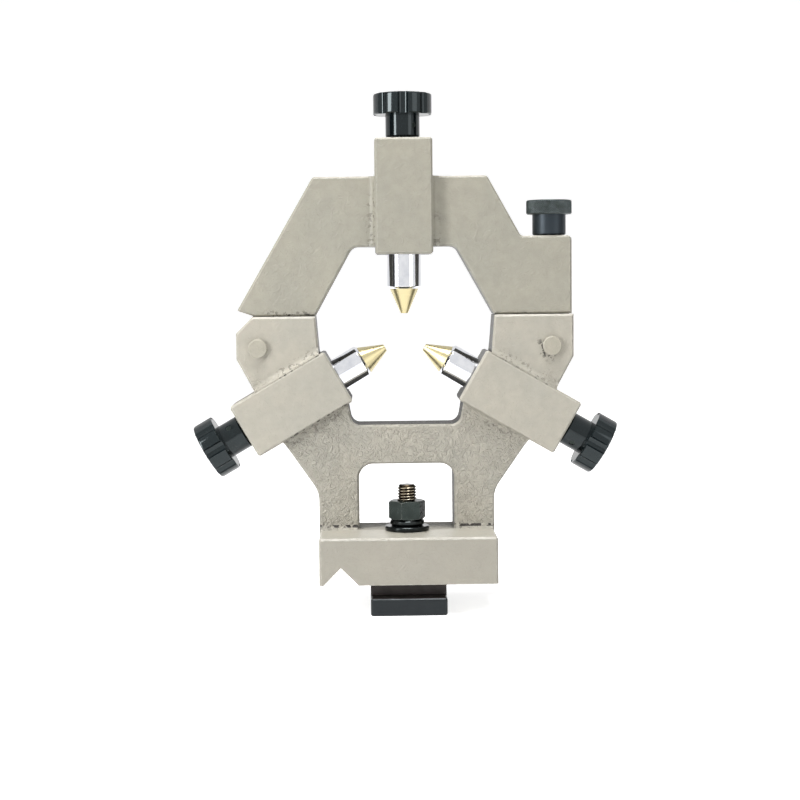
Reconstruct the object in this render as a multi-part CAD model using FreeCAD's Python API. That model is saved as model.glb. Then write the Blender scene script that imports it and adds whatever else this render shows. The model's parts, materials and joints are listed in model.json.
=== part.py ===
"""Three-jaw steady rest for a bench lathe with 250 mm swing.

A lower casting sits on the lathe's inner ways, and an upper casting is hinged to it at the left and
held down at the right by a knurled clamp screw. Three quills with brass tips point at the work's axis,
and each is moved by a screw with a star knob. A clamp plate under the bed is pulled up by a stud and nut.

Millimetres. +Z is up, the work's axis lies along Y and the front face looks along -Y. The origin is on
the way face, in the plane of the jaws and midway between the two sides of the base.
"""

import FreeCAD, Part

import math
import os

V = FreeCAD.Vector

# Main heights and thicknesses
CENTRE_HEIGHT = 125.0  # work's axis above the way face
WEB_LOWER = 26.0  # thickness of the lower casting's web and ears, along Y
WEB_UPPER = 21.0  # thickness of the upper casting's arms
EDGE_BREAK = 1.0  # bevel round the cast outlines
SEAM_GAP = 0.3  # between faces that rest on each other on two castings
FIT = 0.05  # radial clearance of a pin or a screw in its hole
PAST = 1.0  # how far a cutting tool passes the face that it opens

# Base
BASE_HALF_WIDTH = 45.5
BASE_HEIGHT = 24.0
BASE_FRONT = 33.0  # how far the base stands out in front of the web
VEE_X = -34.5  # the prismatic way's ridge
VEE_HALF_WIDTH = 9.0
VEE_DEPTH = 9.0
FOOT_COVE = 3.0

# Lower casting; each rise or drop is measured from the work's axis
LEG_HALF_WIDTH = 46.0
LEG_BEND_HEIGHT = 44.0
LEG_BEND_RADIUS = 14.0
SHOULDER_HALF_WIDTH = 64.0
SHOULDER_DROP = 55.0
WINDOW_HALF_WIDTH = 25.0
WINDOW_TOP = 58.5
WINDOW_RADIUS = 7.5
THROAT_HALF_WIDTH = 28.0  # lower corners of the opening for the work
THROAT_DROP = 46.0
THROAT_RADIUS = 5.0
EAR_INNER = 46.8
EAR_OUTER = 88.2
EAR_RISE = 11.0
EAR_WAIST = 79.8  # where each ear runs into its jaw block
EAR_WAIST_DROP = 26.5
EAR_SIDE_DROP = 11.0
EAR_CORNER_CUT = 8.5  # bevel of the left ear, which lets the upper casting swing
WEB_SETBACK = 3.0  # web behind the inner end of a jaw block

# Upper casting
CROWN_RISE = 83.5
CROWN_LEFT = 47.3
CROWN_RIGHT = 43.5
ARCH_HALF_WIDTH = 27.0
ARCH_RISE = 47.0
ARCH_RADIUS = 5.0
ARM_OUTER = 87.6
ARM_TIP_RISE = 3.0  # height of the left arm's tip above the seam
ARM_TIP_RUN = 9.0
LUG_RISE = 52.0
LUG_INNER = 61.0
LUG_RADIUS = 2.5

# Jaw blocks and what runs in them, measured outwards from the work's axis
BLOCK_WIDTH = 30.0
BLOCK_DEPTH = 34.0
UPPER_BLOCK_INNER = 43.0
UPPER_BLOCK_LENGTH = 60.0
LOWER_BLOCK_INNER = 40.5
LOWER_BLOCK_LENGTH = 57.0
BLOCK_COVE = 3.5
QUILL_RADIUS = 9.0
QUILL_INNER = 25.0
QUILL_LENGTH = 43.0
QUILL_BEVEL = 1.2
QUILL_THREAD_DEPTH = 35.0
JAW_IN = 7.0  # travel towards the axis
JAW_OUT = 18.0  # travel away from it
TIP_LENGTH = 13.0
TIP_BASE_RADIUS = 7.6
TIP_END_RADIUS = 1.9
TIP_SHANK_RADIUS = 3.0
TIP_SHANK_LENGTH = 7.0
SPINDLE_RADIUS = 4.0
SPINDLE_END = 52.0
COLLAR_RADIUS = 7.0
COLLAR_THICKNESS = 3.0
BUSH_RADIUS = 7.6
BUSH_DEPTH = 7.0  # part inside the block
BUSH_PROUD = 1.0
GUIDE_AT = 50.0
GUIDE_RADIUS = 2.5
GUIDE_SOCKET_RADIUS = 1.45
GUIDE_SOCKET_DEPTH = 2.0
KEYWAY_FLOOR = 5.6  # distance of the keyway's floor from the quill's axis
KEYWAY_CLEARANCE = 0.15

# Star knobs
HUB_RADIUS = 9.0
HUB_LENGTH = 11.5
KNOB_RADIUS = 15.5
KNOB_THICKNESS = 11.0
KNOB_ROUND = 1.2
KNOB_LOBES = 8
FLUTE_RADIUS = 3.2
FLUTE_DEPTH = 1.9
DISH_RADIUS = 10.0
DISH_DEPTH = 0.9
KNOB_GAP = 0.3  # hub above the bush
KNOB_PIN_RADIUS = 1.5
KNOB_PIN_RECESS = 0.5
KNOB_PIN_ANGLE = 40.0  # from the front, towards the right

# Hinge, cross pin and clamp screw of the upper casting
PIN_X = 76.8
PIN_BELOW_EAR = 16.5  # pin's axis below the top of the ears
PIN_RADIUS = 5.0
PIN_PROUD = 2.6
PIN_BEVEL = 0.5
TONGUE_THICKNESS = 12.0
TONGUE_RADIUS = 9.5
TONGUE_SIDE_GAP = 0.2
SLOT_REACH = 13.0  # slot's wall and floor from the pin's axis
LOCATOR_HALF_WIDTH = 9.0
LOCATOR_FLOOR_GAP = 2.0  # locating tongue above the cross pin
SCREW_RADIUS = 4.0
SCREW_CLEARANCE = 0.4
SCREW_BELOW_PIN = 2.0
CLAMP_HEAD_RADIUS = 12.0
CLAMP_HEAD_THICKNESS = 7.5
CLAMP_HUB_RADIUS = 8.8
CLAMP_HUB_LENGTH = 10.8
CLAMP_KNURLS = 44
KNURL_DEPTH = 0.45
CLAMP_SEAT_GAP = 0.4
SCREW_IN_KNOB = 11.0

# Bed clamp
STUD_RADIUS = 5.0
STUD_TOP = 48.0
STUD_HOLE_RADIUS = 5.6
STUD_RECESS = 1.0  # lower end above the plate's underside
WASHER_RADIUS = 11.6
WASHER_THICKNESS = 2.5
LOCK_RADIUS = 9.0
LOCK_THICKNESS = 3.4
LOCK_SPLIT = 1.6
NUT_FLATS = 17.0
NUT_HEIGHT = 9.6
STACK_GAP = 0.05
PLATE_WIDTH = 39.0
PLATE_LENGTH = 62.0
PLATE_THICKNESS = 9.0
PLATE_TONGUE = 39.0
PLATE_TONGUE_HEIGHT = 6.4
PLATE_BEVEL = 0.8

# Places that follow from the sizes above
AXIS = V(0, 0, CENTRE_HEIGHT)
HALF_LOWER = WEB_LOWER / 2
HALF_UPPER = WEB_UPPER / 2
BASE_BACK_Y = HALF_LOWER
BASE_FRONT_Y = -HALF_LOWER - BASE_FRONT
STUD_Y = (BASE_BACK_Y + BASE_FRONT_Y) / 2
SHOULDER_HEIGHT = CENTRE_HEIGHT - SHOULDER_DROP
THROAT_FLOOR = CENTRE_HEIGHT - THROAT_DROP
EAR_WAIST_HEIGHT = CENTRE_HEIGHT - EAR_WAIST_DROP
EAR_SIDE_LOW = CENTRE_HEIGHT - EAR_SIDE_DROP
EAR_TOP = CENTRE_HEIGHT + EAR_RISE
SEAM = EAR_TOP + SEAM_GAP
PIN_HEIGHT = EAR_TOP - PIN_BELOW_EAR
ARCH_TOP = CENTRE_HEIGHT + ARCH_RISE
LUG_TOP = CENTRE_HEIGHT + LUG_RISE
CROWN_HEIGHT = CENTRE_HEIGHT + CROWN_RISE
JAW_NAMES = ("top", "left", "right")
JAW_ANGLES = {name: 90 + 360 * k / len(JAW_NAMES) for k, name in enumerate(JAW_NAMES)}


def outline(points):
    """Closed wire in the XZ plane through (x, z) or (x, z, corner radius) points."""
    corners = [(V(p[0], 0, p[1]), p[2] if len(p) > 2 else 0.0) for p in points]
    ends = []
    for i, (here, radius) in enumerate(corners):
        before = (corners[i - 1][0] - here).normalize()
        after = (corners[(i + 1) % len(corners)][0] - here).normalize()
        if radius == 0:
            ends.append((here, None, here))
            continue
        half = before.getAngle(after) / 2
        reach = radius / math.tan(half)
        middle = (before + after).normalize() * (radius / math.sin(half) - radius)
        ends.append((here + before * reach, here + middle, here + after * reach))
    edges = []
    for i, (first, middle, last) in enumerate(ends):
        if middle is not None:
            edges.append(Part.Arc(first, middle, last).toShape())
        edges.append(Part.LineSegment(last, ends[(i + 1) % len(ends)][0]).toShape())
    return Part.Wire(edges)


def prism(points, back, front):
    """Solid with an XZ outline, from y = back to y = front."""
    face = Part.Face(outline(points))
    face.translate(V(0, back, 0))
    return face.extrude(V(0, front - back, 0))


def web(points, thickness):
    """Cast plate with a bevel round its front and back outlines."""
    half = thickness / 2
    solid = prism(points, -half, half)
    rims = [e for e in solid.Edges if abs(abs(e.CenterOfMass.y) - half) < 1e-6]
    return solid.makeChamfer(EDGE_BREAK, rims)


def revolved(profile, base=V(0, 0, 0)):
    """Solid of revolution about +Z from (radius, height) points."""
    points = [V(r, 0, z) for r, z in profile]
    face = Part.Face(Part.makePolygon(points + points[:1]))
    solid = face.revolve(V(0, 0, 0), V(0, 0, 1), 360)
    solid.translate(base)
    return solid


def rod(radius, low, high, bevel=0.0):
    """Cylinder about +Z with both ends bevelled."""
    if bevel == 0:
        return revolved([(0, low), (radius, low), (radius, high), (0, high)])
    return revolved(
        [(0, low), (radius - bevel, low), (radius, low + bevel)]
        + [(radius, high - bevel), (radius - bevel, high), (0, high)]
    )


def hexagon(flats, low, high, angle=0.0):
    """Hexagonal bar about +Z."""
    reach = flats / math.sqrt(3)
    turns = [math.radians(angle + 60 * k) for k in range(7)]
    wire = Part.makePolygon([V(reach * math.cos(t), reach * math.sin(t), low) for t in turns])
    return Part.Face(wire).extrude(V(0, 0, high - low))


def across(radius, half_length, x, z, bevel=0.0):
    """Round pin along Y at x and z."""
    solid = rod(radius, -half_length, half_length, bevel)
    solid.rotate(V(0, 0, 0), V(1, 0, 0), 90)
    solid.translate(V(x, 0, z))
    return solid


def on_jaw(solid, name):
    """Moves a solid made about +Z, its zero on the work's axis, to the jaw of that name."""
    solid.rotate(V(0, 0, 0), V(0, -1, 0), JAW_ANGLES[name] - 90)
    solid.translate(AXIS)
    return solid


def jaw_point(name, out, side):
    """(x, z) of the point that lies out along a jaw's axis and to its side."""
    a = math.radians(JAW_ANGLES[name])
    x = out * math.cos(a) - side * math.sin(a)
    z = out * math.sin(a) + side * math.cos(a)
    return x, CENTRE_HEIGHT + z


# Jaw blocks: the square bosses of both castings

def block_ends(name):
    """(inner end, outer end) of the boss of the jaw of that name."""
    if name == "top":
        return UPPER_BLOCK_INNER, UPPER_BLOCK_INNER + UPPER_BLOCK_LENGTH
    return LOWER_BLOCK_INNER, LOWER_BLOCK_INNER + LOWER_BLOCK_LENGTH


def block_body(name):
    """Square boss about +Z with broken edges."""
    inner, outer = block_ends(name)
    corner = V(-BLOCK_WIDTH / 2, -BLOCK_DEPTH / 2, inner)
    box = Part.makeBox(BLOCK_WIDTH, BLOCK_DEPTH, outer - inner, corner)
    return box.makeChamfer(EDGE_BREAK, box.Edges)


def block_coves(name, half_web):
    """Concave fillets between a boss and the web on both sides of it."""
    inner, outer = block_ends(name)
    length = outer - inner
    found = []
    for side in (-1, 1):
        for face in (-1, 1):
            x = side * BLOCK_WIDTH / 2
            y = face * half_web
            corner = V(min(x, x + side * BLOCK_COVE), min(y, y + face * BLOCK_COVE), inner)
            square = Part.makeBox(BLOCK_COVE, BLOCK_COVE, length, corner)
            centre = V(x + side * BLOCK_COVE, y + face * BLOCK_COVE, inner)
            found.append(square.cut(Part.makeCylinder(BLOCK_COVE, length, centre)))
    return found


def block_hollow(name):
    """What a jaw cuts out of a casting: the quill's way, the bush's seat and the guide screw's hole."""
    inner, outer = block_ends(name)
    seat = outer - BUSH_DEPTH
    bore = rod(QUILL_RADIUS + FIT, min(inner, QUILL_INNER) - JAW_IN, seat)
    bush = rod(BUSH_RADIUS + FIT, seat - PAST, outer + PAST)
    guide = Part.makeCylinder(
        GUIDE_RADIUS + FIT, BLOCK_DEPTH / 2, V(0, 0, GUIDE_AT), V(0, 1, 0)
    )
    return bore.fuse([bush, guide])


def with_blocks(casting, flat_outline, half_web, names):
    """Adds the bosses of these jaws to a casting, with their coves, and cuts their hollows."""
    envelope = prism(flat_outline, -BLOCK_DEPTH / 2, BLOCK_DEPTH / 2)
    added = []
    for name in names:
        added.append(on_jaw(block_body(name), name))
        for cove in block_coves(name, half_web):
            added += on_jaw(cove, name).common(envelope).Solids
    casting = casting.fuse(added)
    for name in names:
        casting = casting.cut(on_jaw(block_hollow(name), name))
    return casting.removeSplitter()


# Castings

def lower_outline():
    """Outline of the lower web, from the left foot round to the right one."""
    back = LOWER_BLOCK_INNER + WEB_SETBACK
    left_top = jaw_point("left", back, -BLOCK_WIDTH / 2)
    left_low = jaw_point("left", back, BLOCK_WIDTH / 2)
    half = [
        (LEG_HALF_WIDTH, BASE_HEIGHT - FOOT_COVE),
        (LEG_HALF_WIDTH, LEG_BEND_HEIGHT, LEG_BEND_RADIUS),
        (SHOULDER_HALF_WIDTH, SHOULDER_HEIGHT),
        (EAR_WAIST, EAR_WAIST_HEIGHT),
        (EAR_OUTER, EAR_SIDE_LOW),
    ]
    inside = [
        (EAR_INNER, EAR_TOP),
        (-left_top[0], left_top[1]),
        (-left_low[0], left_low[1]),
        (THROAT_HALF_WIDTH, THROAT_FLOOR, THROAT_RADIUS),
    ]
    left = [(-p[0], *p[1:]) for p in half]
    left += [
        (-EAR_OUTER, EAR_TOP - EAR_CORNER_CUT),
        (-EAR_OUTER + EAR_CORNER_CUT, EAR_TOP),
    ]
    left += [(-p[0], *p[1:]) for p in inside]
    right = inside[::-1] + [(EAR_OUTER, EAR_TOP)] + half[::-1]
    window = [
        (WINDOW_HALF_WIDTH, BASE_HEIGHT - FOOT_COVE),
        (WINDOW_HALF_WIDTH, WINDOW_TOP, WINDOW_RADIUS),
        (-WINDOW_HALF_WIDTH, WINDOW_TOP, WINDOW_RADIUS),
        (-WINDOW_HALF_WIDTH, BASE_HEIGHT - FOOT_COVE),
    ]
    return left + right + window


def base_block():
    """Foot with the vee for the prismatic way, a flat for the other way and the stud's hole."""
    w = BASE_HALF_WIDTH
    points = [
        (-w, 0), (VEE_X - VEE_HALF_WIDTH, 0), (VEE_X, VEE_DEPTH), (VEE_X + VEE_HALF_WIDTH, 0),
        (w, 0), (w, BASE_HEIGHT), (-w, BASE_HEIGHT),
    ]
    solid = prism(points, BASE_FRONT_Y, BASE_BACK_Y)
    rims = [
        e for e in solid.Edges
        if abs(e.CenterOfMass.z - BASE_HEIGHT) < 1e-6
        or (abs(abs(e.CenterOfMass.x) - w) < 1e-6 and abs(e.CenterOfMass.y - BASE_FRONT_Y) < 1e-6)
    ]
    solid = solid.makeChamfer(EDGE_BREAK, rims)
    hole = Part.makeCylinder(STUD_HOLE_RADIUS, BASE_HEIGHT, V(0, STUD_Y, 0))
    return solid.cut(hole)


def foot_coves():
    """Concave fillets where the front of each leg meets the top of the base."""
    found = []
    for side in (-1, 1):
        ends = sorted((side * WINDOW_HALF_WIDTH, side * LEG_HALF_WIDTH))
        start = ends[0] + EDGE_BREAK
        length = ends[1] - ends[0] - 2 * EDGE_BREAK
        y = -HALF_LOWER - FOOT_COVE
        square = Part.makeBox(length, FOOT_COVE, FOOT_COVE, V(start, y, BASE_HEIGHT))
        arc = Part.makeCylinder(
            FOOT_COVE, length, V(start, y, BASE_HEIGHT + FOOT_COVE), V(1, 0, 0)
        )
        found.append(square.cut(arc))
    return found


def ear_slot(side):
    """Slot between an ear's two cheeks, open at the top and at the outer side."""
    half = TONGUE_THICKNESS / 2 + TONGUE_SIDE_GAP
    inner = PIN_X - SLOT_REACH
    outer = EAR_OUTER + PAST
    floor = PIN_HEIGHT - SLOT_REACH
    x = inner if side > 0 else -outer
    return Part.makeBox(outer - inner, 2 * half, EAR_TOP + PAST - floor, V(x, -half, floor))


def lower_frame():
    flat = lower_outline()
    casting = web(flat, WEB_LOWER).fuse([base_block()] + foot_coves())
    casting = with_blocks(casting, flat, HALF_LOWER, ("left", "right"))
    for side in (-1, 1):
        casting = casting.cut(ear_slot(side))
        casting = casting.cut(across(PIN_RADIUS + FIT, WEB_LOWER, side * PIN_X, PIN_HEIGHT))
    return casting


def upper_outline():
    """Outline of the upper web, from the left arm's tip over the crown to the right lug."""
    return [
        (-ARM_OUTER, SEAM + ARM_TIP_RISE),
        (-CROWN_LEFT, CROWN_HEIGHT, LUG_RADIUS),
        (CROWN_RIGHT, CROWN_HEIGHT, LUG_RADIUS),
        (LUG_INNER, LUG_TOP, LUG_RADIUS),
        (ARM_OUTER, LUG_TOP, LUG_RADIUS),
        (ARM_OUTER, SEAM),
        (EAR_INNER, SEAM),
        (ARCH_HALF_WIDTH, ARCH_TOP, ARCH_RADIUS),
        (-ARCH_HALF_WIDTH, ARCH_TOP, ARCH_RADIUS),
        (-EAR_INNER, SEAM),
        (-ARM_OUTER + ARM_TIP_RUN, SEAM),
    ]


def hinge_tongue():
    """Tongue of the upper casting that turns on the hinge pin, inside the ear's bevelled corner."""
    root = SEAM + ARM_TIP_RISE + EDGE_BREAK
    corner = -EAR_OUTER + EAR_CORNER_CUT
    points = [
        (corner, root),
        (corner, EAR_TOP),
        (-PIN_X - TONGUE_RADIUS, PIN_HEIGHT),
        (-PIN_X + TONGUE_RADIUS, PIN_HEIGHT),
        (-PIN_X + TONGUE_RADIUS, root),
    ]
    half = TONGUE_THICKNESS / 2
    body = prism(points, -half, half)
    return body.fuse(across(TONGUE_RADIUS, half, -PIN_X, PIN_HEIGHT))


def locating_tongue():
    """Short tongue under the right lug that enters the ear's slot."""
    half = TONGUE_THICKNESS / 2
    floor = PIN_HEIGHT + PIN_RADIUS + LOCATOR_FLOOR_GAP
    corner = V(PIN_X - LOCATOR_HALF_WIDTH, -half, floor)
    top = SEAM + 2 * EDGE_BREAK
    return Part.makeBox(2 * LOCATOR_HALF_WIDTH, 2 * half, top - floor, corner)


def upper_frame():
    flat = upper_outline()
    casting = web(flat, WEB_UPPER).fuse([hinge_tongue(), locating_tongue()])
    casting = with_blocks(casting, flat, HALF_UPPER, ("top",))
    casting = casting.cut(across(PIN_RADIUS + FIT, WEB_UPPER, -PIN_X, PIN_HEIGHT))
    screw_hole = Part.makeCylinder(
        SCREW_RADIUS + SCREW_CLEARANCE, LUG_TOP + PAST - PIN_HEIGHT, V(PIN_X, 0, PIN_HEIGHT)
    )
    return casting.cut(screw_hole)


# Pins of the two ears

def hinge_pin():
    return across(PIN_RADIUS, HALF_LOWER + PIN_PROUD, -PIN_X, PIN_HEIGHT, PIN_BEVEL)


def cross_pin():
    """Pin with a threaded cross hole that the clamp screw goes into."""
    pin = across(PIN_RADIUS, HALF_LOWER + PIN_PROUD, PIN_X, PIN_HEIGHT, PIN_BEVEL)
    low = V(PIN_X, 0, PIN_HEIGHT - 2 * PIN_RADIUS)
    return pin.cut(Part.makeCylinder(SCREW_RADIUS + FIT, 4 * PIN_RADIUS, low))


# Pieces of one jaw, made about +Z with zero on the work's axis

def quill():
    outer = QUILL_INNER + QUILL_LENGTH
    body = rod(QUILL_RADIUS, QUILL_INNER, outer, QUILL_BEVEL)
    thread = rod(SPINDLE_RADIUS + FIT, outer - QUILL_THREAD_DEPTH, outer + PAST)
    shank = rod(TIP_SHANK_RADIUS + FIT, QUILL_INNER - PAST, QUILL_INNER + TIP_SHANK_LENGTH)
    half = GUIDE_RADIUS + KEYWAY_CLEARANCE
    low = GUIDE_AT - JAW_OUT - KEYWAY_CLEARANCE - half
    high = GUIDE_AT + JAW_IN + KEYWAY_CLEARANCE + half
    keyway = Part.makeBox(2 * half, QUILL_RADIUS, high - low, V(-half, KEYWAY_FLOOR, low))
    return body.cut([thread, shank, keyway])


def jaw_tip():
    """Brass tip with a shank in the quill."""
    low = QUILL_INNER - TIP_LENGTH
    end = QUILL_INNER + TIP_SHANK_LENGTH - FIT
    return revolved([
        (0, low), (TIP_END_RADIUS, low), (TIP_BASE_RADIUS, QUILL_INNER),
        (TIP_SHANK_RADIUS, QUILL_INNER), (TIP_SHANK_RADIUS, end), (0, end),
    ])


def bush_top(name):
    """Height of the outer face of a jaw's end bush."""
    return block_ends(name)[1] + BUSH_PROUD


def hub_seat(name):
    """Height of a star knob's underside."""
    return bush_top(name) + KNOB_GAP


def hub_pin(name, radius, half_length):
    """Round pin across a hub, turned to the knob's pin angle."""
    solid = across(radius, half_length, 0, 0)
    solid.rotate(V(0, 0, 0), V(0, 0, 1), KNOB_PIN_ANGLE)
    solid.translate(V(0, 0, hub_seat(name) + HUB_LENGTH / 2))
    return solid


def pin_hole(name):
    """Hole for a star knob's cross pin, through hub and spindle."""
    return hub_pin(name, KNOB_PIN_RADIUS + FIT, HUB_RADIUS + PAST)


def spindle(name):
    """Jaw screw with the collar that the end bush holds."""
    top = hub_seat(name) + HUB_LENGTH
    collar_top = bush_top(name) - BUSH_PROUD - BUSH_DEPTH - SEAM_GAP
    collar = rod(COLLAR_RADIUS, collar_top - COLLAR_THICKNESS, collar_top)
    return rod(SPINDLE_RADIUS, SPINDLE_END, top, EDGE_BREAK).fuse(collar).cut(pin_hole(name))


def end_bush(name):
    """Bush screwed into a block's outer end, which holds the jaw screw's collar."""
    top = bush_top(name)
    low = top - BUSH_PROUD - BUSH_DEPTH
    body = rod(BUSH_RADIUS, low, top)
    return body.cut(rod(SPINDLE_RADIUS + FIT, low - PAST, top + PAST))


def guide_screw():
    """Socket screw whose end runs in the quill's keyway and stops it turning."""
    low = KEYWAY_FLOOR + 2 * KEYWAY_CLEARANCE
    high = BLOCK_DEPTH / 2 - KNOB_PIN_RECESS
    screw = rod(GUIDE_RADIUS, low, high)
    socket = hexagon(2 * GUIDE_SOCKET_RADIUS, high - GUIDE_SOCKET_DEPTH, high + PAST)
    screw = screw.cut(socket)
    screw.rotate(V(0, 0, 0), V(1, 0, 0), -90)
    screw.translate(V(0, 0, GUIDE_AT))
    return screw


def star_knob(name):
    """Fluted knob with its hub, bored for the jaw screw."""
    seat = hub_seat(name)
    low = seat + HUB_LENGTH
    top = low + KNOB_THICKNESS
    r = KNOB_ROUND
    body = revolved([
        (0, seat), (HUB_RADIUS - r / 2, seat), (HUB_RADIUS, seat + r / 2), (HUB_RADIUS, low),
        (KNOB_RADIUS - r / 2, low), (KNOB_RADIUS, low + r / 2), (KNOB_RADIUS, top - r),
        (KNOB_RADIUS - 0.3 * r, top - 0.3 * r), (KNOB_RADIUS - r, top),
        (DISH_RADIUS + DISH_DEPTH, top), (DISH_RADIUS, top - DISH_DEPTH), (0, top - DISH_DEPTH),
    ])
    reach = KNOB_RADIUS - FLUTE_DEPTH + FLUTE_RADIUS
    flutes = []
    for k in range(KNOB_LOBES):
        a = math.radians(360 * k / KNOB_LOBES)
        place = V(reach * math.cos(a), reach * math.sin(a), low - PAST)
        flutes.append(Part.makeCylinder(FLUTE_RADIUS, KNOB_THICKNESS + 2 * PAST, place))
    bore = rod(SPINDLE_RADIUS + FIT, seat - PAST, low + FIT)
    return body.cut(flutes + [bore, pin_hole(name)])


def knob_pin(name):
    """Pin that fixes a star knob to its screw."""
    return hub_pin(name, KNOB_PIN_RADIUS, HUB_RADIUS - KNOB_PIN_RECESS)


# Clamp screw of the upper casting

def clamp_seat():
    """Height of the clamp knob's underside."""
    return LUG_TOP + CLAMP_SEAT_GAP


def clamp_screw():
    low = PIN_HEIGHT - PIN_RADIUS - SCREW_BELOW_PIN
    screw = rod(SCREW_RADIUS, low, clamp_seat() + SCREW_IN_KNOB, EDGE_BREAK)
    screw.translate(V(PIN_X, 0, 0))
    return screw


def clamp_knob():
    """Knob with a straight-knurled head, bored for the clamp screw."""
    seat = clamp_seat()
    low = seat + CLAMP_HUB_LENGTH
    top = low + CLAMP_HEAD_THICKNESS
    b = EDGE_BREAK / 2
    turned = revolved([
        (0, seat), (CLAMP_HUB_RADIUS - b, seat), (CLAMP_HUB_RADIUS, seat + b), (CLAMP_HUB_RADIUS, low),
        (CLAMP_HEAD_RADIUS - 2 * b, low), (CLAMP_HEAD_RADIUS, low + b),
        (CLAMP_HEAD_RADIUS, top - b), (CLAMP_HEAD_RADIUS - 2 * b, top), (0, top),
    ])
    ring = []
    for k in range(2 * CLAMP_KNURLS):
        a = math.pi * k / CLAMP_KNURLS
        r = CLAMP_HEAD_RADIUS - (k % 2) * KNURL_DEPTH
        ring.append(V(r * math.cos(a), r * math.sin(a), seat - PAST))
    teeth = Part.Face(Part.makePolygon(ring + ring[:1])).extrude(V(0, 0, top - seat + 2 * PAST))
    bore = rod(SCREW_RADIUS + FIT, seat - PAST, seat + SCREW_IN_KNOB + FIT)
    knob = turned.common(teeth).cut(bore)
    knob.translate(V(PIN_X, 0, 0))
    return knob


# Bed clamp

def clamp_plate():
    """Plate that is turned under the ways, with a square tongue between them."""
    top = -SEAM_GAP
    step = top - PLATE_TONGUE_HEIGHT
    low = step - PLATE_THICKNESS
    w = PLATE_WIDTH / 2
    tongue_corner = V(-w, STUD_Y - PLATE_TONGUE / 2, step - PAST)
    tongue = Part.makeBox(PLATE_WIDTH, PLATE_TONGUE, PLATE_TONGUE_HEIGHT + PAST, tongue_corner)
    flange_corner = V(-w, STUD_Y - PLATE_LENGTH / 2, low)
    flange = Part.makeBox(PLATE_WIDTH, PLATE_LENGTH, PLATE_THICKNESS, flange_corner)
    flange = flange.makeChamfer(PLATE_BEVEL, flange.Edges)
    hole = Part.makeCylinder(STUD_RADIUS + FIT, 2 * PLATE_LENGTH, V(0, STUD_Y, low - PAST))
    return tongue.fuse(flange).cut(hole).removeSplitter()


def clamp_stud():
    low = -SEAM_GAP - PLATE_TONGUE_HEIGHT - PLATE_THICKNESS + STUD_RECESS
    stud = rod(STUD_RADIUS, low, STUD_TOP, EDGE_BREAK)
    stud.translate(V(0, STUD_Y, 0))
    return stud


def flat_washer():
    low = BASE_HEIGHT + STACK_GAP
    washer = rod(WASHER_RADIUS, low, low + WASHER_THICKNESS, EDGE_BREAK / 2)
    washer = washer.cut(rod(STUD_RADIUS + SCREW_CLEARANCE, low - PAST, low + WASHER_THICKNESS + PAST))
    washer.translate(V(0, STUD_Y, 0))
    return washer


def lock_washer():
    """Spring washer with its split at the left."""
    low = BASE_HEIGHT + WASHER_THICKNESS + 2 * STACK_GAP
    ring = rod(LOCK_RADIUS, low, low + LOCK_THICKNESS, 3 * LOCK_THICKNESS / 10)
    ring = ring.cut(rod(STUD_RADIUS + SCREW_CLEARANCE, low - PAST, low + LOCK_THICKNESS + PAST))
    corner = V(-LOCK_RADIUS, 0, low - PAST)
    split = Part.makeBox(LOCK_RADIUS, LOCK_SPLIT, LOCK_THICKNESS + 2 * PAST, corner)
    ring = ring.cut(split)
    ring.translate(V(0, STUD_Y, 0))
    return ring


def clamp_nut():
    low = BASE_HEIGHT + WASHER_THICKNESS + LOCK_THICKNESS + 3 * STACK_GAP
    top = low + NUT_HEIGHT
    reach = NUT_FLATS / math.sqrt(3)
    slope = reach - NUT_FLATS / 2
    domed = revolved([
        (0, low), (reach - slope, low), (reach, low + slope / 2),
        (reach, top - slope / 2), (reach - slope, top), (0, top),
    ])
    nut = hexagon(NUT_FLATS, low, top, 12.0).common(domed)
    nut = nut.cut(rod(STUD_RADIUS + FIT, low - PAST, top + PAST))
    nut.translate(V(0, STUD_Y, 0))
    return nut


def pieces():
    """Every piece by name."""
    found = {
        "lower_frame": lower_frame(),
        "upper_frame": upper_frame(),
        "hinge_pin": hinge_pin(),
        "cross_pin": cross_pin(),
        "clamp_screw": clamp_screw(),
        "clamp_knob": clamp_knob(),
        "clamp_plate": clamp_plate(),
        "clamp_stud": clamp_stud(),
        "flat_washer": flat_washer(),
        "lock_washer": lock_washer(),
        "clamp_nut": clamp_nut(),
    }
    for jaw in JAW_NAMES:
        made = {
            "quill": quill(), "jaw_tip": jaw_tip(), "guide_screw": guide_screw(),
            "jaw_screw": spindle(jaw), "end_bush": end_bush(jaw),
            "star_knob": star_knob(jaw), "knob_pin": knob_pin(jaw),
        }
        for piece, solid in made.items():
            found[f"{piece}_{jaw}"] = on_jaw(solid, jaw)
    return found


def main():
    os.makedirs("parts", exist_ok=True)
    for name, shape in pieces().items():
        if len(shape.Solids) == 1:
            shape = shape.Solids[0]
        print(f"{name:20s} solids {len(shape.Solids)} valid {shape.isValid()} volume {shape.Volume:10.1f}")
        shape.exportStep(f"parts/{name}.step")


main()
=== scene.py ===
# %% [markdown]
# # A three-jaw steady rest
#
# A steady rest holds a long bar in the middle while a lathe turns it. Two iron castings, hinged
# together, carry three chromed quills with brass tips. The shapes and the moving pieces come in as a
# fixed frame. This lesson gives each of them the finish that a real one has: enamel over rough iron,
# chrome, turned brass, glossy moulded knobs, blackened steel, and threads that look cut.

# %% Load the frame
import json
import math
import bmesh
import bpy
from mathutils import Matrix, Vector


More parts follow.
